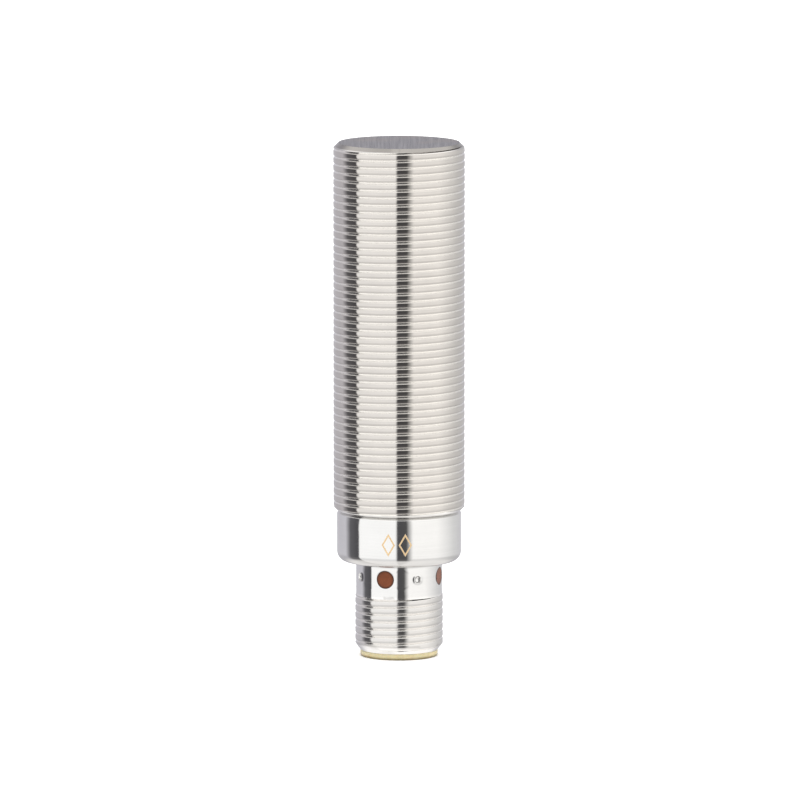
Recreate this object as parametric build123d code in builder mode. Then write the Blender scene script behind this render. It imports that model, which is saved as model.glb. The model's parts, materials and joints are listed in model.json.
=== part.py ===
"""Inductive proximity sensor: an M18 x 1 barrel with a four-pin M12 x 1 connector end.

Millimetres, +Z up. The origin is the centre of the connector's end, so the sensor stands on its
connector with the sensing face at the top. Heights below are Z values. Both threads are drawn as
rings, with the thread's own pitch and flank angle and the wide, flat crests of a turned barrel.
"""

from build123d import *

import os
from math import radians, tan

# Outside shape
overall_length = 70.0
barrel_diameter = 18.0
barrel_length = 50.0
barrel_pitch = 1.0
neck_diameter = 16.85
neck_length = 7.0
connector_diameter = 12.0
connector_pitch = 1.0
connector_length = 7.6
stem_step = 0.16
lip_step = 0.75
lip_height = 0.8
lip_round = 0.15
thread_angle = 60.0
crest_share = 0.4
root_share = 0.1

# Edges
face_chamfer = 0.8
face_chamfer_length = 0.85
barrel_end_chamfer = 0.5
neck_fillet = 1.35
neck_top_chamfer = 0.12
stem_end_chamfer = 0.8
stem_end_chamfer_length = 0.9

# Metal walls
barrel_bore_diameter = 15.6
face_thickness = 0.8
spigot_length = 4.5
spigot_wall = 1.58
shoulder_thickness = 1.2
connector_wall = 1.25

# Gaps between pieces, and how close two sizes are to count as the same
push_gap = 0.02
pin_gap = 0.01
same_size = 0.001

# Seal between barrel and neck
seal_section = 0.8
seal_groove_width = 1.1
seal_height_in_spigot = 2.6

# Connector insert
socket_diameter = 8.5
socket_depth = 8.6
floor_thickness = 1.1
hub_wall = 0.4
key_width = 1.0
key_depth = 0.75
key_angle = 45.0
insert_seal_section = 0.5
insert_seal_drop = 0.55

# Contacts
contact_count = 4
contact_diameter = 1.0
contact_circle = 5.0
contact_recess = 2.4
tail_diameter = 0.7
tail_projection = 0.6
contact_tip_chamfer = 0.25

# Indicator windows and staking marks
window_count = 4
window_diameter = 2.4
window_recess = 0.1
window_gap = 0.01
light_ring_wall = 0.2
window_height_in_ring = 1.4
light_ring_height = 2.65
stake_diameter = 1.0
stake_depth = 0.3
stake_angle = 45.0

# Connector board and lamps
lamp_height = 0.55
lamp_radial = 1.0
lamp_across = 1.6
lamp_gap = 0.3
lamp_corner = 0.1
small_board_gap = 0.15
small_board_thickness = 0.8

# Main board
board_thickness = 1.0
board_side_gap = 0.7
tongue_side_gap = 0.75
board_step_gap = 1.5
board_gap = 1.5
board_corner = 0.4

# Link between the two boards
link_width = 3.0
link_thickness = 0.2
link_foot = 1.4
link_overlap = 1.6
link_bend = 0.3

# Sensing head
insulator_thickness = 0.25
core_height = 5.35
core_wall = 1.2
core_post_diameter = 5.8
core_window_depth = 3.85
core_hole_diameter = 2.0
bobbin_flange = 0.4
bobbin_wall = 0.5
winding_margin = 0.2
holder_height = 3.1
holder_slot_depth = 1.5
holder_pocket_margin = 0.5
holder_pocket_depth = 0.9
holder_pocket_height = 1.9
head_gap = 0.1
shield_thickness = 0.8
lead_diameter = 0.24
lead_hole_diameter = 0.4
lead_overlap = 1.0

# Potting and foil
foil_gap = 0.15
foil_thickness = 0.15
front_potting_length = 5.5
rear_potting_lift = 2.8
rear_potting_gap = 0.2

# Parts soldered to the main board
chip_lift = 0.1
chip_chamfer = 0.1
chip_lead_thickness = 0.2
chip_lead_width = 0.4
chip_lead_out = 0.3
chip_lead_foot = 0.6
end_cap_length = 0.4
end_cap_rise = 0.05

# Rows of those parts, as shares of the way up the wide part of the board
low_row = 0.18
middle_row = 0.4
high_row = 0.65

# Derived heights
seam_height = overall_length - barrel_length
shoulder_height = seam_height - neck_length
connector_top = lip_height + connector_length
spigot_top = seam_height + spigot_length
seal_height = seam_height + seal_height_in_spigot
insert_floor_top = socket_depth + floor_thickness
light_ring_top = insert_floor_top + light_ring_height
window_height = insert_floor_top + window_height_in_ring
small_board_bottom = light_ring_top + lamp_height
small_board_top = small_board_bottom + small_board_thickness
neck_floor = shoulder_height + shoulder_thickness
board_bottom = small_board_top + board_gap
board_step = spigot_top + board_step_gap
link_top = board_bottom + link_overlap
rear_potting_bottom = max(neck_floor + rear_potting_lift, link_top + rear_potting_gap)
barrel_ceiling = overall_length - face_thickness
core_top = barrel_ceiling - insulator_thickness
core_bottom = core_top - core_height
holder_bottom = core_bottom - holder_height
board_face = board_thickness / 2
board_top = holder_bottom + holder_slot_depth
lead_bottom = board_top - lead_overlap
winding_floor = core_top - core_window_depth + bobbin_flange
winding_ceiling = core_top - bobbin_flange

# Derived radii
barrel_radius = barrel_diameter / 2
barrel_bore_radius = barrel_bore_diameter / 2
neck_radius = neck_diameter / 2
connector_radius = connector_diameter / 2
stem_radius = connector_radius - stem_step
lip_radius = connector_radius - lip_step
stem_bore_radius = connector_radius - connector_wall
socket_radius = socket_diameter / 2
contact_radius = contact_diameter / 2
spigot_radius = barrel_bore_radius - push_gap
neck_bore_radius = spigot_radius - spigot_wall
insert_radius = stem_bore_radius - push_gap
hub_radius = contact_circle / 2 + contact_radius + hub_wall
light_ring_inner = hub_radius + push_gap
lamp_spot_radius = stem_bore_radius - lamp_gap - lamp_radial / 2
small_board_radius = stem_bore_radius - small_board_gap
head_radius = barrel_bore_radius - head_gap
core_radius = head_radius - shield_thickness
core_window_radius = core_radius - core_wall
core_post_radius = core_post_diameter / 2
foil_outer_radius = barrel_bore_radius - foil_gap
foil_inner_radius = foil_outer_radius - foil_thickness
bobbin_inner_radius = core_post_radius + push_gap
bobbin_hub_radius = bobbin_inner_radius + bobbin_wall
bobbin_outer_radius = core_window_radius - push_gap

# Derived widths of the main board
board_width = 2 * (foil_inner_radius - board_side_gap)
tongue_width = 2 * (stem_bore_radius - tongue_side_gap)

# Where the coil's two leads run up beside the main board
lead_offset = (core_window_radius + core_post_radius) / 2
lead_spots = [(side * lead_offset, board_face + lead_diameter / 2) for side in (-1, 1)]

os.makedirs("parts", exist_ok=True)


def save(piece, label):
    """Names a finished piece and writes its STEP file."""
    piece.part.label = label
    export_step(piece.part, f"parts/{label}.step")


def thread_outline(radius, pitch, low, high):
    """Points (radius, height) up the ringed outside of a thread, from low to high."""
    half_mouth = pitch * (1 - crest_share) / 2
    half_root = pitch * root_share / 2
    root = radius - (half_mouth - half_root) / tan(radians(thread_angle / 2))
    points = [(radius, low)]
    groove_count = int((high - low) / pitch)
    first_groove = low + (high - low - (groove_count - 1) * pitch) / 2
    for number in range(groove_count):
        middle = first_groove + number * pitch
        points.append((radius, middle - half_mouth))
        points.append((root, middle - half_root))
        points.append((root, middle + half_root))
        points.append((radius, middle + half_mouth))
    points.append((radius, high))
    return points


def cut_edge(radius, height, inward, along):
    """Takes the corner off a profile at (radius, height): inward at that height, running out along Z."""
    Polygon(
        (radius - inward, height),
        (radius + inward, height),
        (radius + inward, height + 2 * along),
        align=None,
        mode=Mode.SUBTRACT,
    )


def around(number, count):
    """Angle in degrees of one of count places spread evenly about Z."""
    return number * 360 / count


def side_plane(angle, height):
    """A plane on the Z axis that looks outward at the given angle, with its own x axis up."""
    outward = Vector(1, 0).rotate(Axis.Z, angle)
    return Plane(origin=(0, 0, height), x_dir=(0, 0, 1), z_dir=outward)


# ---------------------------------------------------------------- barrel with its closed face
with BuildPart() as threaded_sleeve:
    with BuildSketch(Plane.XZ):
        with BuildLine():
            Polyline(
                *thread_outline(barrel_radius, barrel_pitch, seam_height, overall_length),
                (0, overall_length),
                (0, barrel_ceiling),
                (barrel_bore_radius, barrel_ceiling),
                (barrel_bore_radius, seam_height),
                close=True,
            )
        make_face()
        cut_edge(barrel_radius, overall_length, face_chamfer, -face_chamfer_length)
        cut_edge(barrel_radius, seam_height, barrel_end_chamfer, barrel_end_chamfer)
    revolve(axis=Axis.Z)
save(threaded_sleeve, "threaded_sleeve")

# ---------------------------------------------------------------- neck, shoulder and connector stem
with BuildPart() as rear_housing:
    with BuildSketch(Plane.XZ):
        with BuildLine():
            stem_thread = thread_outline(connector_radius, connector_pitch, lip_height, connector_top)
            Polyline(
                *stem_thread,
                (stem_radius, connector_top),
                (stem_radius, shoulder_height),
                (neck_radius, shoulder_height),
                (neck_radius, seam_height),
                (spigot_radius, seam_height),
                (spigot_radius, spigot_top),
                (neck_bore_radius, spigot_top),
                (neck_bore_radius, neck_floor),
                (stem_bore_radius, neck_floor),
                (stem_bore_radius, lip_height),
                close=True,
            )
        make_face()
        cut_edge(connector_radius, lip_height, stem_end_chamfer, stem_end_chamfer_length)
        cut_edge(neck_radius, seam_height, neck_top_chamfer, -neck_top_chamfer)
        with Locations((spigot_radius, seal_height)):
            Rectangle(2 * (seal_section - push_gap), seal_groove_width, mode=Mode.SUBTRACT)
    revolve(axis=Axis.Z)
    shoulder_rim = (
        rear_housing.edges()
        .filter_by(GeomType.CIRCLE)
        .filter_by(lambda edge: abs(edge.radius - neck_radius) < same_size)
        .sort_by(Axis.Z)[0]
    )
    fillet(shoulder_rim, radius=neck_fillet)
    for number in range(window_count):
        side = side_plane(around(number, window_count), window_height)
        with BuildSketch(side.offset(light_ring_inner)):
            Circle(window_diameter / 2)
        extrude(amount=stem_radius, mode=Mode.SUBTRACT)
    with PolarLocations(0, window_count, start_angle=stake_angle):
        with Locations((stem_radius + stake_diameter / 2 - stake_depth, 0, window_height)):
            Sphere(stake_diameter / 2, mode=Mode.SUBTRACT)
save(rear_housing, "rear_housing")

with BuildPart() as sleeve_seal:
    with Locations((0, 0, seal_height)):
        Torus(barrel_bore_radius - seal_section / 2, seal_section / 2)
save(sleeve_seal, "sleeve_seal")

# ---------------------------------------------------------------- connector insert and its seal
insert_seal_height = insert_floor_top - insert_seal_drop
with BuildPart() as connector_insert:
    with BuildSketch(Plane.XZ):
        with BuildLine():
            Polyline(
                (socket_radius, 0),
                (lip_radius, 0),
                (lip_radius, lip_height),
                (insert_radius, lip_height),
                (insert_radius, insert_floor_top),
                (hub_radius, insert_floor_top),
                (hub_radius, light_ring_top),
                (0, light_ring_top),
                (0, socket_depth),
                (socket_radius, socket_depth),
                close=True,
            )
        make_face()
        with Locations((insert_radius, insert_seal_height)):
            Rectangle(
                2 * (insert_seal_section - push_gap),
                insert_seal_section + 2 * push_gap,
                mode=Mode.SUBTRACT,
            )
    revolve(axis=Axis.Z)
    round_edges = connector_insert.edges().filter_by(GeomType.CIRCLE)
    lip_rim = round_edges.group_by(SortBy.RADIUS)[-1].sort_by(Axis.Z)[0]
    fillet(lip_rim, radius=lip_round)
    with BuildSketch():
        with PolarLocations(socket_radius - key_depth / 2, 1, start_angle=key_angle):
            Rectangle(2 * key_depth, key_width)
        Circle(socket_radius, mode=Mode.INTERSECT)
        Circle(socket_radius - key_depth, mode=Mode.SUBTRACT)
    extrude(amount=socket_depth)
    with BuildSketch(Plane.XY.offset(socket_depth)):
        with PolarLocations(contact_circle / 2, contact_count):
            Circle(contact_radius + pin_gap)
    extrude(amount=light_ring_top - socket_depth, mode=Mode.SUBTRACT)
save(connector_insert, "connector_insert")

with BuildPart() as insert_seal:
    with Locations((0, 0, insert_seal_height)):
        Torus(stem_bore_radius - insert_seal_section / 2, insert_seal_section / 2)
save(insert_seal, "insert_seal")

# ---------------------------------------------------------------- contacts
for number in range(contact_count):
    spot = Vector(contact_circle / 2, 0).rotate(Axis.Z, around(number, contact_count))
    with BuildPart() as contact:
        with BuildSketch(Plane.XY.offset(contact_recess)):
            with Locations(spot):
                Circle(contact_radius)
        extrude(amount=light_ring_top - contact_recess)
        chamfer(contact.edges().group_by(Axis.Z)[0], length=contact_tip_chamfer)
        with BuildSketch(Plane.XY.offset(light_ring_top)):
            with Locations(spot):
                Circle(tail_diameter / 2)
        extrude(amount=small_board_top + tail_projection - light_ring_top)
    save(contact, f"contact_pin_{number + 1}")

# ---------------------------------------------------------------- clear ring with its window bosses
with BuildPart() as light_ring:
    with BuildSketch(Plane.XY.offset(insert_floor_top)):
        Circle(insert_radius)
        Circle(light_ring_inner, mode=Mode.SUBTRACT)
    extrude(amount=light_ring_height)
    for number in range(window_count):
        side = side_plane(around(number, window_count), window_height)
        with BuildSketch(side.offset(stem_bore_radius - light_ring_wall)):
            Circle(window_diameter / 2 - window_gap)
        extrude(amount=stem_radius - window_recess - stem_bore_radius + light_ring_wall)
save(light_ring, "light_ring")

# ---------------------------------------------------------------- connector board and its lamps
with BuildPart() as connector_board:
    with BuildSketch(Plane.XY.offset(small_board_bottom)):
        Circle(small_board_radius)
        with PolarLocations(contact_circle / 2, contact_count):
            Circle(tail_diameter / 2 + pin_gap, mode=Mode.SUBTRACT)
    extrude(amount=small_board_thickness)
save(connector_board, "connector_board")

for number in range(window_count):
    with BuildPart() as lamp:
        with BuildSketch(Plane.XY.offset(light_ring_top)):
            with PolarLocations(lamp_spot_radius, 1, start_angle=around(number, window_count)):
                Rectangle(lamp_radial, lamp_across)
        extrude(amount=lamp_height)
        fillet(lamp.edges().filter_by(Axis.Z), radius=lamp_corner)
    save(lamp, f"status_lamp_{number + 1}")

# ---------------------------------------------------------------- flexible link between the boards
with BuildPart() as board_link:
    link_middle = link_thickness / 2
    with BuildLine(Plane.YZ) as link_path:
        FilletPolyline(
            (board_face + link_foot, small_board_top + link_middle),
            (board_face + link_middle, small_board_top + link_middle),
            (board_face + link_middle, link_top),
            radius=link_bend,
        )
    link_start = Plane(origin=link_path.line @ 0, x_dir=(1, 0, 0), z_dir=link_path.line % 0)
    with BuildSketch(link_start):
        Rectangle(link_width, link_thickness)
    sweep(path=link_path.line)
save(board_link, "board_link")

# ---------------------------------------------------------------- main board
with BuildPart() as circuit_board:
    with BuildSketch(Plane.XZ):
        with Locations((0, (board_step + board_top) / 2)):
            Rectangle(board_width, board_top - board_step)
        with Locations((0, (board_bottom + board_step) / 2)):
            Rectangle(tongue_width, board_step - board_bottom)
    extrude(amount=board_face, both=True)
    fillet(circuit_board.edges().filter_by(Axis.Y), radius=board_corner)
save(circuit_board, "circuit_board")


def board_side(side, lift):
    """A plane lift above one face of the main board, looking away from it; side is 1 (+Y) or -1 (-Y)."""
    return Plane(origin=(0, side * (board_face + lift), 0), x_dir=(-side, 0, 0), z_dir=(0, side, 0))


def board_spot(across, row):
    """Where a part sits on the main board: across from its middle, and a share of the way up it."""
    return (across, board_step + row * (board_top - board_step))


def leaded_chip(label, size, across, row, side, leads, pitch):
    """A moulded chip with bent leads left and right; size is (width, height, thickness)."""
    width, height, thickness = size
    centre = board_spot(across, row)
    shoulder = chip_lift + thickness / 2
    lead_top = shoulder + chip_lead_thickness
    lead_runs = (
        (width + chip_lead_out, chip_lead_out, shoulder, chip_lead_thickness),
        (width + 2 * chip_lead_out + chip_lead_thickness, chip_lead_thickness, 0, lead_top),
        (width + 2 * chip_lead_out + chip_lead_foot, chip_lead_foot, 0, chip_lead_thickness),
    )
    with BuildPart() as chip:
        with BuildSketch(board_side(side, chip_lift)):
            with Locations(centre):
                Rectangle(width, height)
        extrude(amount=thickness)
        chamfer(chip.faces().sort_by(Axis.Y)[-1 if side > 0 else 0].edges(), length=chip_chamfer)
        for spacing, length, lift, rise in lead_runs:
            with BuildSketch(board_side(side, lift)):
                with Locations(centre):
                    with GridLocations(spacing, pitch, 2, leads):
                        Rectangle(length, chip_lead_width)
            extrude(amount=rise)
    save(chip, label)


def capped_part(label, size, across, row, side):
    """A block with a metal cap on its upper and lower ends; size is (width, height, thickness)."""
    width, height, thickness = size
    centre = board_spot(across, row)
    with BuildPart() as body:
        with BuildSketch(board_side(side, 0)):
            with Locations(centre):
                Rectangle(width, height)
        extrude(amount=thickness)
        with BuildSketch(board_side(side, 0)):
            with Locations(centre):
                with GridLocations(1, height - end_cap_length, 1, 2):
                    Rectangle(width + 2 * end_cap_rise, end_cap_length)
        extrude(amount=thickness + end_cap_rise)
    save(body, label)


# ---------------------------------------------------------------- parts on the main board
leaded_chip("oscillator_chip", size=(3.9, 4.9, 1.4), across=0, row=high_row, side=1, leads=4, pitch=1.27)
leaded_chip("output_driver", size=(3.5, 6.4, 1.6), across=0, row=middle_row, side=1, leads=3, pitch=2.3)
leaded_chip("voltage_regulator", size=(1.7, 2.9, 1.1), across=-2, row=high_row, side=-1, leads=2, pitch=1.9)
capped_part("protection_diode", size=(2.6, 4.3, 2.1), across=0, row=low_row, side=1)
capped_part("supply_capacitor", size=(3.2, 6.0, 2.5), across=0, row=low_row, side=-1)
capped_part("filter_capacitor", size=(1.6, 3.2, 1.3), across=3.2, row=middle_row, side=-1)
capped_part("tuning_capacitor", size=(1.25, 2.0, 0.9), across=3.6, row=high_row, side=-1)
capped_part("sense_resistor", size=(1.6, 3.2, 0.6), across=-3.2, row=middle_row, side=-1)
capped_part("trim_resistor", size=(1.25, 2.0, 0.5), across=0.8, row=high_row, side=-1)

# ---------------------------------------------------------------- sensing head
with BuildPart() as face_insulator:
    with BuildSketch(Plane.XY.offset(core_top)):
        Circle(head_radius)
    extrude(amount=insulator_thickness)
save(face_insulator, "face_insulator")

with BuildPart() as ferrite_core:
    with BuildSketch(Plane.XY.offset(core_bottom)):
        Circle(core_radius)
        Circle(core_hole_diameter / 2, mode=Mode.SUBTRACT)
        with Locations(*lead_spots):
            Circle(lead_hole_diameter / 2, mode=Mode.SUBTRACT)
    extrude(amount=core_height)
    with BuildSketch(Plane.XY.offset(core_top)):
        Circle(core_window_radius)
        Circle(core_post_radius, mode=Mode.SUBTRACT)
    extrude(amount=-core_window_depth, mode=Mode.SUBTRACT)
save(ferrite_core, "ferrite_core")

with BuildPart() as shield_ring:
    with BuildSketch(Plane.XY.offset(core_bottom)):
        Circle(head_radius)
        Circle(core_radius + push_gap, mode=Mode.SUBTRACT)
    extrude(amount=core_height)
save(shield_ring, "shield_ring")

with BuildPart() as coil_bobbin:
    with BuildSketch(Plane.XY.offset(core_top - core_window_depth)):
        Circle(bobbin_outer_radius)
        Circle(bobbin_inner_radius, mode=Mode.SUBTRACT)
        with Locations(*lead_spots):
            Circle(lead_hole_diameter / 2, mode=Mode.SUBTRACT)
    extrude(amount=bobbin_flange)
    with BuildSketch(Plane.XY.offset(winding_floor)):
        Circle(bobbin_hub_radius)
        Circle(bobbin_inner_radius, mode=Mode.SUBTRACT)
    extrude(amount=winding_ceiling - winding_floor)
    with BuildSketch(Plane.XY.offset(winding_ceiling)):
        Circle(bobbin_outer_radius)
        Circle(bobbin_inner_radius, mode=Mode.SUBTRACT)
    extrude(amount=bobbin_flange)
save(coil_bobbin, "coil_bobbin")

with BuildPart() as coil_winding:
    with BuildSketch(Plane.XY.offset(winding_floor)):
        Circle(bobbin_outer_radius - winding_margin)
        Circle(bobbin_hub_radius, mode=Mode.SUBTRACT)
    extrude(amount=winding_ceiling - winding_floor)
save(coil_winding, "coil_winding")

for number, spot in enumerate(lead_spots):
    with BuildPart() as lead:
        with BuildSketch(Plane.XY.offset(lead_bottom)):
            with Locations(spot):
                Circle(lead_diameter / 2)
        extrude(amount=winding_floor - lead_bottom)
    save(lead, f"coil_lead_{number + 1}")

with BuildPart() as coil_holder:
    with BuildSketch(Plane.XY.offset(holder_bottom)):
        Circle(head_radius)
        with Locations(*lead_spots):
            Circle(lead_hole_diameter / 2, mode=Mode.SUBTRACT)
    extrude(amount=holder_height)
    with BuildSketch(Plane.XY.offset(holder_bottom)):
        Rectangle(board_width, board_thickness)
    extrude(amount=holder_slot_depth, mode=Mode.SUBTRACT)
    with BuildSketch(Plane.XY.offset(holder_bottom)):
        with Locations((0, board_face)):
            Rectangle(
                2 * (lead_offset + holder_pocket_margin),
                holder_pocket_depth,
                align=(Align.CENTER, Align.MIN),
            )
    extrude(amount=holder_pocket_height, mode=Mode.SUBTRACT)
save(coil_holder, "coil_holder")

# ---------------------------------------------------------------- foil and potting
with BuildPart() as insulating_foil:
    with BuildSketch(Plane.XY.offset(spigot_top)):
        Circle(foil_outer_radius)
        Circle(foil_inner_radius, mode=Mode.SUBTRACT)
    extrude(amount=holder_bottom - spigot_top)
save(insulating_foil, "insulating_foil")

with BuildPart() as front_potting:
    with BuildSketch(Plane.XY.offset(holder_bottom - front_potting_length)):
        Circle(foil_inner_radius)
        Rectangle(board_width, board_thickness, mode=Mode.SUBTRACT)
    extrude(amount=front_potting_length)
save(front_potting, "front_potting")

with BuildPart() as rear_potting:
    with BuildSketch(Plane.XY.offset(rear_potting_bottom)):
        Circle(neck_bore_radius)
        Rectangle(tongue_width, board_thickness, mode=Mode.SUBTRACT)
    extrude(amount=spigot_top - rear_potting_bottom)
save(rear_potting, "rear_potting")
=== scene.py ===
"""Looks of the threaded proximity sensor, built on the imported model's frame, in metres."""

import json
import math

import bmesh
import bpy
import numpy as np
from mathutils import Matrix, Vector


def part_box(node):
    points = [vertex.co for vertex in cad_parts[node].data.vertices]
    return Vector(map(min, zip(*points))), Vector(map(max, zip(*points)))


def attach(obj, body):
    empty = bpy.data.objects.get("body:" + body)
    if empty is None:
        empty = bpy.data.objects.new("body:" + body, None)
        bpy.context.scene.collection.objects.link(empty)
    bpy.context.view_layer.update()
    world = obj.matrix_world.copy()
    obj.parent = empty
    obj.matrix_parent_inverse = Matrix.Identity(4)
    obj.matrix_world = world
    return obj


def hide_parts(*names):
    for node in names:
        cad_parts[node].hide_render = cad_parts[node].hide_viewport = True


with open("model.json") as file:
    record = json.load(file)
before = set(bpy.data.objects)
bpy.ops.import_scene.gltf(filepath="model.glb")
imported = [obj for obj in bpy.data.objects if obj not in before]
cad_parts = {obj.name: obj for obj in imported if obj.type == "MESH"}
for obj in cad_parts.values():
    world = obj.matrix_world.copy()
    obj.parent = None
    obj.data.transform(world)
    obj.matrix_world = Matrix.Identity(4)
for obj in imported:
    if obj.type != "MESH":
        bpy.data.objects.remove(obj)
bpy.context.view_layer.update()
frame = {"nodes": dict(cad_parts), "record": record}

MM = 0.001

# ------------------------------------------------------------------ sizes read from the frame
sleeve_low, sleeve_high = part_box("threaded_sleeve")
housing_low, housing_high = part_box("rear_housing")
ring_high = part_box("light_ring")[1]

face_height = sleeve_high.z
seam_height = sleeve_low.z
neck_radius = housing_high.x
stem_end = housing_low.z
spigot_top = housing_high.z

# ------------------------------------------------------------------ sizes of the metal skins
barrel_crest = sleeve_high.x - 0.10 * MM
barrel_bore = 7.8 * MM
face_thickness = 0.8 * MM
face_edge = 8.2 * MM
face_chamfer = 0.65 * MM
barrel_end_radius = 8.45 * MM
barrel_end_chamfer = 0.45 * MM
barrel_phase = 0.08 * MM

window_recess = 0.1 * MM
stem_radius = ring_high.x + window_recess
stem_bore = 4.75 * MM
stem_crest = 5.95 * MM
stem_end_radius = 5.2 * MM
stem_end_chamfer = 0.9 * MM
stem_thread_top = 8.4 * MM
stem_phase = 0.01 * MM
shoulder_height = 13.0 * MM
neck_fillet = 1.35 * MM
neck_floor = 14.2 * MM
neck_bore = 6.2 * MM
spigot_radius = 7.78 * MM

window_height = 11.1 * MM
window_radius = 1.2 * MM
# Each staking mark's rings as (distance from its centre, depth below the stem), in mm
stake_rings = ((0.68, 0), (0.60, -0.045), (0.50, -0.045), (0.42, 0.06), (0.34, 0.26), (0.20, 0.34), (0, 0.36))
# The groove under the sleeve as (depth below the neck, drop below the seam), in mm
seam_groove = ((0.60, 0.11), (0.05, 0.38), (0, 0.46))
band_low = 9.65 * MM
band_high = 12.55 * MM

pitch = 1.0 * MM
thread_depth = 0.42 * MM
groove_fade_low, groove_fade_high = 0.14 * MM, 0.04 * MM
# Shares of a pitch from the land's middle, and the share of the thread's depth reached there
groove_run = (0.27, 0.31, 0.355, 0.40, 0.44, 0.475)
groove_fall = (0.0, 0.03, 0.12, 0.28, 0.56, 0.88)

mark_height = 16.24 * MM
mark_half_height = 1.35 * MM
mark_half_width = 0.78 * MM
mark_middles = (-1.45 * MM, 0.85 * MM)
mark_line = 0.19

columns = 128
sector_columns = columns // 8

# ------------------------------------------------------------------ viewpoint and floor
view_azimuth = 19.0
view_elevation = 7.65
view_distance = 1.5
view_lens = 498.5
sensor_width = 36.0
aim_height = 34.9 * MM
aim_aside = 0.13 * MM
floor_reach = 1.6
floor_upturn = 0.4


# ================================================================== mesh helpers
def grid_quads(rows, across, wrap):
    """Corner numbers of the quads of a rows x across grid of points, joined round when wrap is set."""
    row, column = np.meshgrid(np.arange(rows - 1), np.arange(across if wrap else across - 1), indexing="ij")
    right = (column + 1) % across
    quads = np.stack([row * across + column, row * across + right,
                      (row + 1) * across + right, (row + 1) * across + column], axis=-1)
    return quads.reshape(-1, 4)


class Skin:
    """Collects grids of points into one closed mesh, each grid with a material number."""

    def __init__(self):
        self.points, self.quads, self.finish, self.count = [], [], [], 0

    def add(self, grid, wrap=True, finish=0):
        """Adds a (rows, across, 3) grid of points as quads."""
        rows, across = grid.shape[:2]
        quads = grid_quads(rows, across, wrap) + self.count
        self.points.append(grid.reshape(-1, 3))
        self.quads.append(quads)
        self.finish.append(np.full(len(quads), finish))
        self.count += rows * across

    def build(self, name, materials, sharp_degrees):
        """Merges the grids' shared borders, points the faces outward and returns the object."""
        mesh = bpy.data.meshes.new(name)
        mesh.from_pydata(np.concatenate(self.points), [], np.concatenate(self.quads).tolist())
        mesh.polygons.foreach_set("material_index", np.concatenate(self.finish).astype(np.int32))
        for material in materials:
            mesh.materials.append(material)
        cage = bmesh.new()
        cage.from_mesh(mesh)
        bmesh.ops.remove_doubles(cage, verts=cage.verts, dist=0.0008 * MM)
        bmesh.ops.dissolve_degenerate(cage, edges=cage.edges, dist=0.0004 * MM)
        bmesh.ops.recalc_face_normals(cage, faces=cage.faces)
        cage.to_mesh(mesh)
        cage.free()
        mesh.polygons.foreach_set("use_smooth", np.ones(len(mesh.polygons), dtype=bool))
        mesh.set_sharp_from_angle(angle=math.radians(sharp_degrees))
        piece = bpy.data.objects.new(name, mesh)
        bpy.context.scene.collection.objects.link(piece)
        return piece


def turned(profile):
    """Revolves (radius, height) points: x = r cos t, y = r sin t, z = h for t round the circle."""
    radius, height = np.array(profile).T
    turn = np.linspace(0, 2 * np.pi, columns, endpoint=False)
    return np.stack([radius[:, None] * np.cos(turn), radius[:, None] * np.sin(turn),
                     np.repeat(height[:, None], columns, axis=1)], axis=-1)


def quarter_arc(centre_radius, centre_height, bend, start, end, steps=8):
    """Points (radius, height) on an arc: centre plus bend times (cos a, sin a), for a in degrees."""
    angle = np.radians(np.linspace(start, end, steps))
    return [(centre_radius + bend * math.cos(a), centre_height + bend * math.sin(a)) for a in angle]


def groove_depth(phase):
    """Depth of the thread below its crest at a phase of -0.5 to 0.5 pitches from the land's middle.

    Flat over the land, then a soft shoulder that steepens into a narrow root."""
    return thread_depth * np.interp(np.abs(phase), groove_run + (0.5,), groove_fall + (1.0,))


def thread_rows():
    """Where the rows of the thread's grid lie within one pitch: down one shoulder and up the other."""
    half = np.array(groove_run)
    return np.sort(np.concatenate([-half, half, [0.5]]))


def helical_thread(crest, low, high, start_phase, reach):
    """A right-hand thread: radius = reach(z) or crest - groove_depth(z / pitch - t / 2 pi), the smaller.

    The grid's rows climb one pitch per turn, so each row keeps its place on the thread's profile, and rows
    past the ends are folded onto them."""
    turn = np.linspace(0, 2 * np.pi, columns + 1)
    turns = int((high - low) / pitch) + 4
    steps = (np.arange(turns)[:, None] + thread_rows()[None, :]).ravel()
    base = low - 2 * pitch + (start_phase - low) % pitch
    height = base + pitch * (steps[:, None] + turn[None, :] / (2 * np.pi))
    height = np.clip(height, low, high)
    phase = (height - start_phase) / pitch - turn[None, :] / (2 * np.pi)
    phase = phase - np.round(phase)
    radius = np.minimum(crest - groove_depth(phase), reach(height))
    return np.stack([radius * np.cos(turn), radius * np.sin(turn), height], axis=-1)


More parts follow.
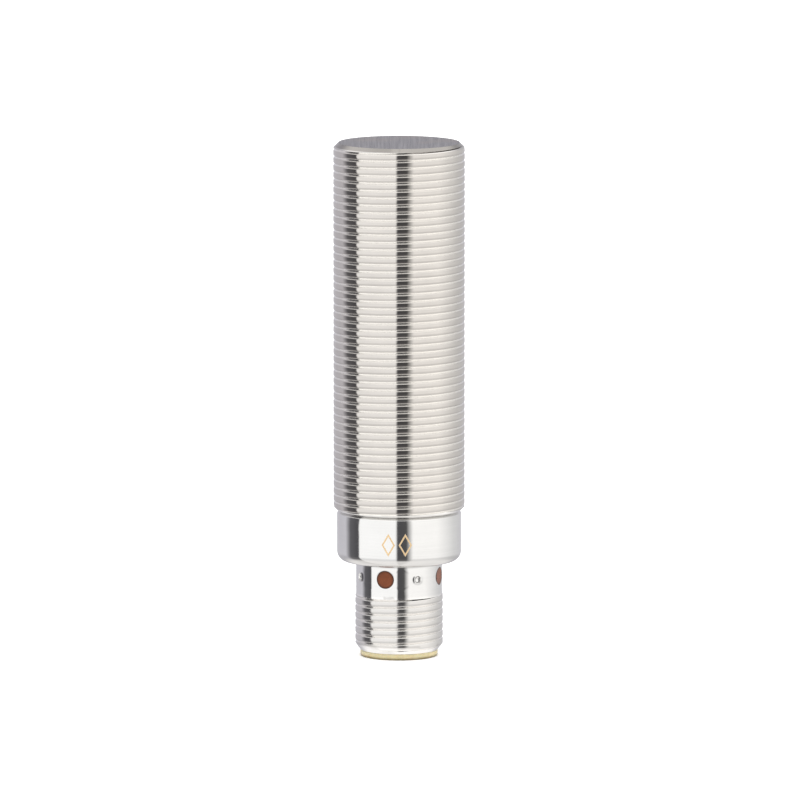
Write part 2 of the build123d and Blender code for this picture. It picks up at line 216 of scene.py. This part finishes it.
# ================================================================== material helpers
class Nodes:
    """A material's node tree with short calls for the nodes used here."""

    def __init__(self, name):
        self.material = bpy.data.materials.new(name)
        self.material.use_nodes = True
        self.tree = self.material.node_tree
        self.shader = self.tree.nodes["Principled BSDF"]
        self.object = self.add("ShaderNodeTexCoord").outputs["Object"]

    def add(self, kind, **settings):
        node = self.tree.nodes.new(kind)
        for key, value in settings.items():
            setattr(node, key, value)
        return node

    def feed(self, socket, value):
        """Links an output to a socket, or sets the socket to a plain value."""
        if isinstance(value, bpy.types.NodeSocket):
            self.tree.links.new(value, socket)
        elif value is not None:
            socket.default_value = value

    def math(self, operation, first, second=None):
        node = self.add("ShaderNodeMath", operation=operation)
        for socket, value in zip(node.inputs, (first, second)):
            self.feed(socket, value)
        return node.outputs[0]

    def turned(self, turn):
        """Object coordinates, turned about Z so that -Y looks the given way."""
        turner = self.add("ShaderNodeMapping", vector_type="TEXTURE")
        self.feed(turner.inputs["Vector"], self.object)
        turner.inputs["Rotation"].default_value = (0, 0, turn)
        return turner.outputs[0]

    def turned_parts(self, turn=0.0):
        """X, Y and Z of the turned object coordinates."""
        parts = self.add("ShaderNodeSeparateXYZ")
        self.feed(parts.inputs[0], self.turned(turn))
        return list(parts.outputs)

    def long_side(self, first, second):
        """The long side of a right triangle with the two given sides."""
        squares = self.math("ADD", self.math("MULTIPLY", first, first), self.math("MULTIPLY", second, second))
        return self.math("SQRT", squares)

    def axis_distance(self):
        """Distance of a point from the Z axis."""
        return self.long_side(*self.turned_parts()[:2])

    def scaled(self, scale, turn=0.0):
        """Object coordinates, turned about Z and then stretched by scale."""
        stretch = self.add("ShaderNodeMapping")
        self.feed(stretch.inputs["Vector"], self.turned(turn))
        stretch.inputs["Scale"].default_value = scale
        return stretch.outputs[0]

    def noise(self, vector, scale, detail=2.0):
        node = self.add("ShaderNodeTexNoise")
        self.feed(node.inputs["Vector"], vector)
        node.inputs["Scale"].default_value = scale
        node.inputs["Detail"].default_value = detail
        node.inputs["Roughness"].default_value = 0.5
        return node.outputs["Fac"]

    def ramp(self, value, low, high, to_low, to_high):
        """Maps value from low..high to to_low..to_high, held at the ends."""
        node = self.add("ShaderNodeMapRange")
        for socket, number in zip(node.inputs, (value, low, high, to_low, to_high)):
            self.feed(socket, number)
        return node.outputs[0]

    def mix(self, factor, first, second):
        node = self.add("ShaderNodeMix", data_type="RGBA")
        self.feed(node.inputs[0], factor)
        self.feed(node.inputs[6], first)
        self.feed(node.inputs[7], second)
        return node.outputs[2]

    def bump(self, height, distance, strength):
        node = self.add("ShaderNodeBump")
        self.feed(node.inputs["Height"], height)
        node.inputs["Distance"].default_value = distance
        node.inputs["Strength"].default_value = strength
        self.feed(self.shader.inputs["Normal"], node.outputs[0])


def painted_groove_light_share(nodes, crest):
    """1 down in the grooves of a thread with the given crest radius, 0 on its land; it places the painted
    light that brightens the grooves.
    """
    return nodes.ramp(nodes.axis_distance(), crest - groove_fade_low, crest - groove_fade_high, 1.0, 0.0)


def turned_steel(name, light, dark, smooth, rough):
    """Lathe-turned stainless steel: fine rings round the axis in colour, roughness and bump."""
    nodes = Nodes(name)
    rings = nodes.noise(nodes.scaled((60, 60, 14000)), 1.0, detail=3.0)
    patches = nodes.noise(nodes.object, 260.0, detail=3.0)
    blend = nodes.math("ADD", nodes.math("MULTIPLY", rings, 0.5), nodes.math("MULTIPLY", patches, 0.5))
    nodes.colour = nodes.mix(nodes.ramp(blend, 0.35, 0.65, 0.0, 1.0), dark, light)
    nodes.dullness = nodes.ramp(blend, 0.35, 0.65, smooth, rough)
    nodes.feed(nodes.shader.inputs["Base Color"], nodes.colour)
    nodes.feed(nodes.shader.inputs["Roughness"], nodes.dullness)
    nodes.shader.inputs["Metallic"].default_value = 1.0
    nodes.bump(rings, 0.0015 * MM, 0.35)
    return nodes


def plain_plastic(name, light, dark, rough):
    """A moulded plastic with faint flow mottling in colour and a fine satin grain."""
    nodes = Nodes(name)
    flow = nodes.noise(nodes.object, 900.0, detail=3.0)
    nodes.colour = nodes.mix(flow, dark, light)
    nodes.feed(nodes.shader.inputs["Base Color"], nodes.colour)
    nodes.feed(nodes.shader.inputs["Roughness"], nodes.ramp(flow, 0.3, 0.7, rough * 0.85, rough * 1.15))
    nodes.bump(nodes.noise(nodes.object, 9000.0), 0.002 * MM, 0.3)
    return nodes


# ================================================================== finishes
def marked_housing():
    """The housing's steel with two thin gold diamond outlines laser-marked on the front of its neck, and
    painted light brightening the grooves of its stem thread.
    """
    nodes = turned_steel("housing_steel", (0.725, 0.72, 0.71, 1), (0.675, 0.67, 0.66, 1), 0.06, 0.10)
    across, deep, height = nodes.turned_parts(math.radians(view_azimuth))
    above = nodes.math("ABSOLUTE", nodes.math("SUBTRACT", height, mark_height))
    rise = nodes.math("DIVIDE", above, mark_half_height)
    front = nodes.math("LESS_THAN", deep, 0.0)
    inked = None
    for middle in mark_middles:
        beside = nodes.math("ABSOLUTE", nodes.math("SUBTRACT", across, middle))
        run = nodes.math("DIVIDE", beside, mark_half_width)
        away = nodes.math("ABSOLUTE", nodes.math("SUBTRACT", nodes.math("ADD", run, rise), 1.0))
        line = nodes.ramp(away, mark_line * 0.6, mark_line, 1.0, 0.0)
        inked = line if inked is None else nodes.math("MAXIMUM", inked, line)
    inked = nodes.math("MULTIPLY", inked, front)
    threaded = nodes.ramp(height, stem_thread_top, stem_thread_top + 0.4 * MM, 1.0, 0.0)
    land = nodes.mix(threaded, nodes.colour, (0.63, 0.615, 0.595, 1))
    # Painted light: the stem thread's grooves are brightened in colour.
    groove = nodes.math("MULTIPLY", threaded, painted_groove_light_share(nodes, stem_crest))
    steel = nodes.mix(groove, land, (0.925, 0.915, 0.90, 1))
    dull = nodes.math("MAXIMUM", nodes.dullness, nodes.math("MULTIPLY", threaded, 0.13))
    nodes.feed(nodes.shader.inputs["Base Color"], nodes.mix(inked, steel, (0.68, 0.49, 0.27, 1)))
    dull = nodes.math("MAXIMUM", dull, nodes.math("MULTIPLY", inked, 0.5))
    nodes.feed(nodes.shader.inputs["Roughness"], dull)
    nodes.feed(nodes.shader.inputs["Metallic"], nodes.ramp(inked, 0.0, 1.0, 1.0, 0.35))
    return nodes.material


def barrel_finish():
    """The sleeve's steel, with painted light brightening the grooves and painted shade darkening the chamfer
    round its face.
    """
    nodes = turned_steel("barrel_steel", (0.60, 0.572, 0.54, 1), (0.53, 0.505, 0.478, 1), 0.05, 0.09)
    # Painted shade: the chamfer round the face is darkened in colour.
    chamfer_foot = face_height - face_chamfer
    edge = nodes.ramp(nodes.turned_parts()[2], chamfer_foot, chamfer_foot + 0.2 * MM, 0.0, 1.0)
    # Painted light: the thread's grooves are brightened in colour, in place of the light that is lost down in
    # them.
    steel = nodes.mix(painted_groove_light_share(nodes, barrel_crest), nodes.colour, (0.925, 0.915, 0.898, 1))
    nodes.feed(nodes.shader.inputs["Base Color"], nodes.mix(edge, steel, (0.29, 0.275, 0.26, 1)))
    return nodes.material


barrel_steel = barrel_finish()
housing_steel = marked_housing()


def ground_face():
    """The sensing face: steel ground with fine straight scratches, and painted shade darkening a ring at its
    outer edge.
    """
    nodes = Nodes("ground_face")
    scratches = nodes.noise(nodes.scaled((4200, 55, 1), math.radians(view_azimuth)), 1.0, detail=3.0)
    share = nodes.ramp(scratches, 0.38, 0.62, 0.0, 1.0)
    ground = nodes.mix(share, (0.120, 0.115, 0.125, 1), (0.290, 0.282, 0.297, 1))
    tint = nodes.ramp(nodes.noise(nodes.object, 160.0, detail=1.0), 0.52, 0.68, 0.0, 0.3)
    warm = nodes.mix(tint, ground, (0.33, 0.25, 0.19, 1))
    # Painted shade: a dark ring just inside the face's outer edge.
    rim = nodes.ramp(nodes.axis_distance(), face_edge - 0.22 * MM, face_edge - 0.08 * MM, 0.0, 0.8)
    nodes.feed(nodes.shader.inputs["Base Color"], nodes.mix(rim, warm, (0.12, 0.115, 0.13, 1)))
    nodes.feed(nodes.shader.inputs["Roughness"], nodes.ramp(scratches, 0.3, 0.7, 0.24, 0.38))
    nodes.shader.inputs["Metallic"].default_value = 1.0
    nodes.bump(scratches, 0.004 * MM, 0.5)
    return nodes.material


face_steel = ground_face()


# ================================================================== barrel
def barrel():
    """The barrel's skin: a right-hand thread between two chamfers, the closed face and the bore."""
    def reach(height):
        top = face_edge + (face_height - height) * (barrel_crest - face_edge) / face_chamfer
        widening = (barrel_crest - barrel_end_radius) / barrel_end_chamfer
        bottom = barrel_end_radius + (height - seam_height) * widening
        return np.minimum(top, bottom)

    skin = Skin()
    skin.add(helical_thread(barrel_crest, seam_height, face_height, barrel_phase, reach), wrap=False)
    face_rings = np.linspace(face_edge, 0, 9)
    skin.add(turned([(radius, face_height) for radius in face_rings]), finish=1)
    ceiling = face_height - face_thickness
    skin.add(turned([(barrel_end_radius, seam_height), (barrel_bore, seam_height),
                     (barrel_bore, ceiling), (0, ceiling)]))
    piece = skin.build("barrel_skin", [barrel_steel, face_steel], 28)
    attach(piece, "root")
    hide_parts("threaded_sleeve")


# ================================================================== neck, shoulder and stem
def band_point(radius, centre_angle, across, height):
    """Points on a cylinder: across is the distance sideways from the centre angle's own plane."""
    depth = np.sqrt(radius ** 2 - across ** 2)
    cosine, sine = math.cos(centre_angle), math.sin(centre_angle)
    return np.stack([depth * cosine - across * sine, depth * sine + across * cosine, height], axis=-1)


def sector_border(radius):
    """The border of one eighth of the window band as (across, height), anticlockwise from its lower left."""
    half = math.pi / 8
    angle = np.linspace(-half, half, sector_columns + 1)
    side_rows = np.linspace(band_low, band_high, sector_columns + 1)
    across = radius * np.sin(angle)
    lower = [(a, band_low) for a in across[:-1]]
    right = [(across[-1], z) for z in side_rows[:-1]]
    upper = [(a, band_high) for a in across[::-1][:-1]]
    left = [(across[0], z) for z in side_rows[::-1][:-1]]
    return np.array(lower + right + upper + left)


def sector(radius, centre_angle, outline):
    """One eighth of the band: rings shrink from its border to a circle, then follow outline inward.

    outline lists (distance from the feature's centre, depth below the band's surface)."""
    border = sector_border(radius)
    bearing = np.arctan2(border[:, 1] - window_height, border[:, 0])
    first = outline[0][0]
    circle = np.stack([first * np.cos(bearing), window_height + first * np.sin(bearing)], axis=-1)
    rings = []
    for share in (0.0, 0.35, 0.65, 0.85, 1.0):
        ring = border * (1 - share) + circle * share
        rings.append(band_point(radius, centre_angle, ring[:, 0], ring[:, 1]))
    for distance, depth in outline[1:]:
        rings.append(band_point(radius - depth, centre_angle, distance * np.cos(bearing),
                                window_height + distance * np.sin(bearing)))
    return np.stack(rings)


def rear_housing():
    """The neck, shoulder and connector stem in one skin, with its windows, staking marks and bores."""
    wall = stem_radius - stem_bore
    window_edge = [(window_radius + 0.10 * MM, 0), (window_radius + 0.03 * MM, 0.02 * MM),
                   (window_radius, 0.09 * MM), (window_radius, wall)]
    stake = [(distance * MM, depth * MM) for distance, depth in stake_rings]
    skin = Skin()
    neck = [(spigot_radius, seam_height)]
    neck += [(neck_radius - depth * MM, seam_height - drop * MM) for depth, drop in seam_groove]
    neck += [(neck_radius, seam_height - 2.5 * MM), (neck_radius, seam_height - 4.5 * MM)]
    neck += quarter_arc(neck_radius - neck_fillet, shoulder_height + neck_fillet, neck_fillet, 0, -90, 14)
    neck += [(stem_radius + 0.12 * MM, shoulder_height),
             (stem_radius + 0.03 * MM, shoulder_height - 0.03 * MM),
             (stem_radius, shoulder_height - 0.12 * MM), (stem_radius, band_high)]
    skin.add(turned(neck))
    for number in range(8):
        angle = number * math.pi / 4
        skin.add(sector(stem_radius, angle, stake if number % 2 else window_edge))
        inner = [(window_radius, 0)] if number % 2 == 0 else [(window_radius, 0), (0, 0)]
        skin.add(sector(stem_bore, angle, inner))
    skin.add(turned([(stem_radius, band_low), (stem_radius, stem_thread_top + 0.5 * MM),
                     (stem_radius, stem_thread_top)]))

    def reach(height):
        return stem_end_radius + (height - stem_end) * (stem_crest - stem_end_radius) / stem_end_chamfer

    def shank(height):
        return np.where(height >= stem_thread_top, stem_radius, reach(height))

    skin.add(helical_thread(stem_crest, stem_end, stem_thread_top, stem_phase, shank), wrap=False)
    skin.add(turned([(stem_end_radius, stem_end), (stem_bore, stem_end), (stem_bore, band_low)]))
    skin.add(turned([(stem_bore, band_high), (stem_bore, neck_floor), (neck_bore, neck_floor),
                     (neck_bore, spigot_top), (spigot_radius, spigot_top), (spigot_radius, seam_height)]))
    piece = skin.build("housing_skin", [housing_steel], 32)
    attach(piece, "root")
    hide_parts("rear_housing")


# ================================================================== carried-over pieces
def rim_moulding():
    """The connector's amber rim: light passes in a little, and painted shade darkens its lowest edge."""
    nodes = plain_plastic("amber_moulding", (0.68, 0.59, 0.36, 1), (0.58, 0.49, 0.27, 1), 0.28)
    nodes.shader.inputs["Subsurface Weight"].default_value = 0.35
    nodes.shader.inputs["Subsurface Radius"].default_value = (0.9 * MM, 0.5 * MM, 0.25 * MM)
    nodes.shader.inputs["Subsurface Scale"].default_value = 1.0
    # Painted shade: the rim is darkened in colour toward its lowest edge, by the floor.
    painted_low_shade = nodes.ramp(nodes.turned_parts()[2], 0.12 * MM, 0.42 * MM, 1.0, 0.0)
    amber = nodes.mix(painted_low_shade, nodes.colour, (0.17, 0.13, 0.05, 1))
    nodes.feed(nodes.shader.inputs["Base Color"], amber)
    return nodes.material


def window_moulding():
    """Brown-amber moulding, with painted shade darkening it toward the rim of each window, where the hole's
    wall would shade it.
    """
    nodes = plain_plastic("window_moulding", (0.215, 0.060, 0.021, 1), (0.12, 0.031, 0.010, 1), 0.14)
    nodes.shader.inputs["Specular IOR Level"].default_value = 0.2
    across_x, across_y, height = nodes.turned_parts()
    aside = nodes.math("MINIMUM", nodes.math("ABSOLUTE", across_x), nodes.math("ABSOLUTE", across_y))
    rise = nodes.math("SUBTRACT", height, window_height)
    # Painted shade: the hole wall's shadow, darkening each window's colour toward its rim.
    rim = nodes.ramp(nodes.long_side(aside, rise), window_radius * 0.70, window_radius * 0.98, 0.0, 0.9)
    nodes.feed(nodes.shader.inputs["Base Color"], nodes.mix(rim, nodes.colour, (0.055, 0.018, 0.008, 1)))
    return nodes.material


def metal(name, light, dark, rough):
    """A plated or drawn metal with faint mottling."""
    nodes = plain_plastic(name, light, dark, rough)
    nodes.shader.inputs["Metallic"].default_value = 1.0
    return nodes.material


slot_finishes = {
    "amber_plastic": rim_moulding(),
    "window_plastic": window_moulding(),
    "seal_rubber": plain_plastic("seal_rubber", (0.03, 0.03, 0.03, 1), (0.015, 0.015, 0.015, 1),
                                 0.6).material,
    "contact_gold": metal("contact_gold", (0.85, 0.62, 0.28, 1), (0.75, 0.52, 0.22, 1), 0.22),
    "board_green": plain_plastic("board_mask", (0.02, 0.16, 0.06, 1), (0.01, 0.09, 0.035, 1), 0.35).material,
    "link_film": plain_plastic("link_film", (0.50, 0.24, 0.05, 1), (0.40, 0.18, 0.04, 1), 0.3).material,
    "lamp_white": plain_plastic("lamp_body", (0.85, 0.82, 0.66, 1), (0.78, 0.75, 0.60, 1), 0.35).material,
    "chip_black": plain_plastic("chip_body", (0.03, 0.03, 0.033, 1), (0.015, 0.015, 0.017, 1), 0.5).material,
    "ceramic_tan": plain_plastic("ceramic_body", (0.52, 0.40, 0.26, 1), (0.42, 0.31, 0.20, 1), 0.5).material,
    "ferrite_grey": plain_plastic("ferrite", (0.07, 0.07, 0.075, 1), (0.04, 0.04, 0.045, 1), 0.55).material,
    "bobbin_white": plain_plastic("bobbin", (0.80, 0.78, 0.72, 1), (0.72, 0.70, 0.64, 1), 0.45).material,
    "copper_wire": metal("copper_wire", (0.72, 0.30, 0.14, 1), (0.55, 0.21, 0.09, 1), 0.32),
    "shield_copper": metal("shield_copper", (0.80, 0.42, 0.26, 1), (0.70, 0.35, 0.20, 1), 0.28),
    "insulator_film": plain_plastic("insulator_film", (0.62, 0.34, 0.08, 1), (0.54, 0.28, 0.06, 1),
                                    0.3).material,
    "holder_black": plain_plastic("holder", (0.04, 0.04, 0.045, 1), (0.02, 0.02, 0.024, 1), 0.45).material,
    "foil_film": metal("foil", (0.72, 0.73, 0.75, 1), (0.64, 0.65, 0.67, 1), 0.3),
    "potting_resin": plain_plastic("resin", (0.16, 0.045, 0.025, 1), (0.11, 0.03, 0.018, 1), 0.3).material,
}


def dress_frame_nodes():
    """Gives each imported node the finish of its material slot."""
    for part in frame["record"]["subparts"]:
        finish = slot_finishes.get(part["material_slot"])
        if finish is not None:
            data = frame["nodes"][part["node"]].data
            data.materials.clear()
            data.materials.append(finish)


# ================================================================== stage
def stage_floor():
    """A wide pale floor whose far edge turns up, so a low camera sees no end to it.

    Metal doesn't mirror it, so the studio's walls reach below it for reflections."""
    nodes = Nodes("floor_paint")
    nodes.shader.inputs["Base Color"].default_value = (0.93, 0.93, 0.93, 1)
    nodes.shader.inputs["Roughness"].default_value = 0.9
    nodes.shader.inputs["Specular IOR Level"].default_value = 0.1
    nodes.shader.inputs["Emission Color"].default_value = (1, 1, 1, 1)
    nodes.shader.inputs["Emission Strength"].default_value = 0.22
    skin = Skin()
    skin.add(turned([(0, 0), (floor_reach, 0)]
                    + quarter_arc(floor_reach, floor_upturn, floor_upturn, -90, 0)))
    floor = skin.build("floor", [nodes.material], 60)
    floor.visible_glossy = False


def studio_walls():
    """A soft studio: pale walls all round, two bright soft panels, and dim gaps between them."""
    world = bpy.data.worlds.new("studio")
    bpy.context.scene.world = world
    world.use_nodes = True
    tree = world.node_tree
    links = tree.links.new
    coord = tree.nodes.new("ShaderNodeTexCoord")
    turner = tree.nodes.new("ShaderNodeMapping")
    turner.inputs["Rotation"].default_value = (0, 0, -math.radians(view_azimuth))
    links(coord.outputs["Generated"], turner.inputs["Vector"])
    parts = tree.nodes.new("ShaderNodeSeparateXYZ")
    links(turner.outputs[0], parts.inputs[0])

    def math_node(operation, first, second=0.0):
        node = tree.nodes.new("ShaderNodeMath")
        node.operation = operation
        for socket, value in zip(node.inputs, (first, second)):
            if isinstance(value, bpy.types.NodeSocket):
                links(value, socket)
            else:
                socket.default_value = value
        return node.outputs[0]

    toward = math_node("MULTIPLY", parts.outputs["Y"], -1.0)
    bearing = math_node("ARCTAN2", parts.outputs["X"], toward)
    place = math_node("ADD", math_node("DIVIDE", bearing, 2 * math.pi), 0.5)
    bands = tree.nodes.new("ShaderNodeValToRGB")
    links(place, bands.inputs[0])
    cool, plain, cream = (0.99, 0.975, 1.05), (1.0, 1.0, 1.0), (1.0, 0.99, 0.975)
    stops = [(-180, 0.46, cool), (-118, 0.57, cool), (-103, 0.12, cool), (-81, 0.075, cool),
             (-79, 1.0, plain), (-6, 1.0, plain), (-3, 0.075, cool), (14, 0.08, plain),
             (26, 1.0, cream), (74, 1.0, cream), (122, 0.66, plain), (180, 0.44, cool)]
    ramp = bands.color_ramp
    while len(ramp.elements) < len(stops):
        ramp.elements.new(0.5)
    for element, (angle, level, tint) in zip(ramp.elements, stops):
        element.position = angle / 360 + 0.5
        element.color = (level * tint[0], level * tint[1], level * tint[2], 1)

    def toward_dome(colour, first, last, most, dome):
        """Fades the walls into a ceiling or ground of one colour as Z goes from first to last."""
        fade = tree.nodes.new("ShaderNodeMapRange")
        fade.interpolation_type = "SMOOTHSTEP"
        links(parts.outputs["Z"], fade.inputs[0])
        for socket, value in zip(list(fade.inputs)[1:5], (first, last, 0.0, most)):
            socket.default_value = value
        mixer = tree.nodes.new("ShaderNodeMix")
        mixer.data_type = "RGBA"
        links(fade.outputs[0], mixer.inputs[0])
        links(colour, mixer.inputs[6])
        mixer.inputs[7].default_value = dome
        return mixer.outputs[2]

    under_ceiling = toward_dome(bands.outputs[0], 0.40, 0.70, 0.75, (1.42, 1.41, 1.39, 1))
    above_skirting = toward_dome(under_ceiling, -0.17, -0.34, 0.30, (0.22, 0.21, 0.21, 1))
    whole = toward_dome(above_skirting, -0.40, -0.70, 0.75, (0.90, 0.88, 0.86, 1))
    background = tree.nodes["Background"]
    links(whole, background.inputs["Color"])
    background.inputs["Strength"].default_value = 1.35


def camera():
    """The camera at the product shot's angle, aimed at the middle of the sensor's height."""
    azimuth, elevation = math.radians(view_azimuth), math.radians(view_elevation)
    back = Vector((math.sin(azimuth) * math.cos(elevation), -math.cos(azimuth) * math.cos(elevation),
                   math.sin(elevation)))
    right = Vector((math.cos(azimuth), math.sin(azimuth), 0))
    target = Vector((0, 0, aim_height)) + right * aim_aside
    data = bpy.data.cameras.new("camera")
    data.lens = view_lens
    data.sensor_width = sensor_width
    data.clip_start, data.clip_end = 0.01, 60.0
    eye = bpy.data.objects.new("camera", data)
    bpy.context.scene.collection.objects.link(eye)
    eye.location = target + back * view_distance
    eye.rotation_mode = "QUATERNION"
    eye.rotation_quaternion = (-back).to_track_quat("-Z", "Y")
    bpy.context.scene.camera = eye


camera()
studio_walls()
stage_floor()
dress_frame_nodes()
barrel()
rear_housing()
bpy.context.scene.view_settings.view_transform = "Standard"
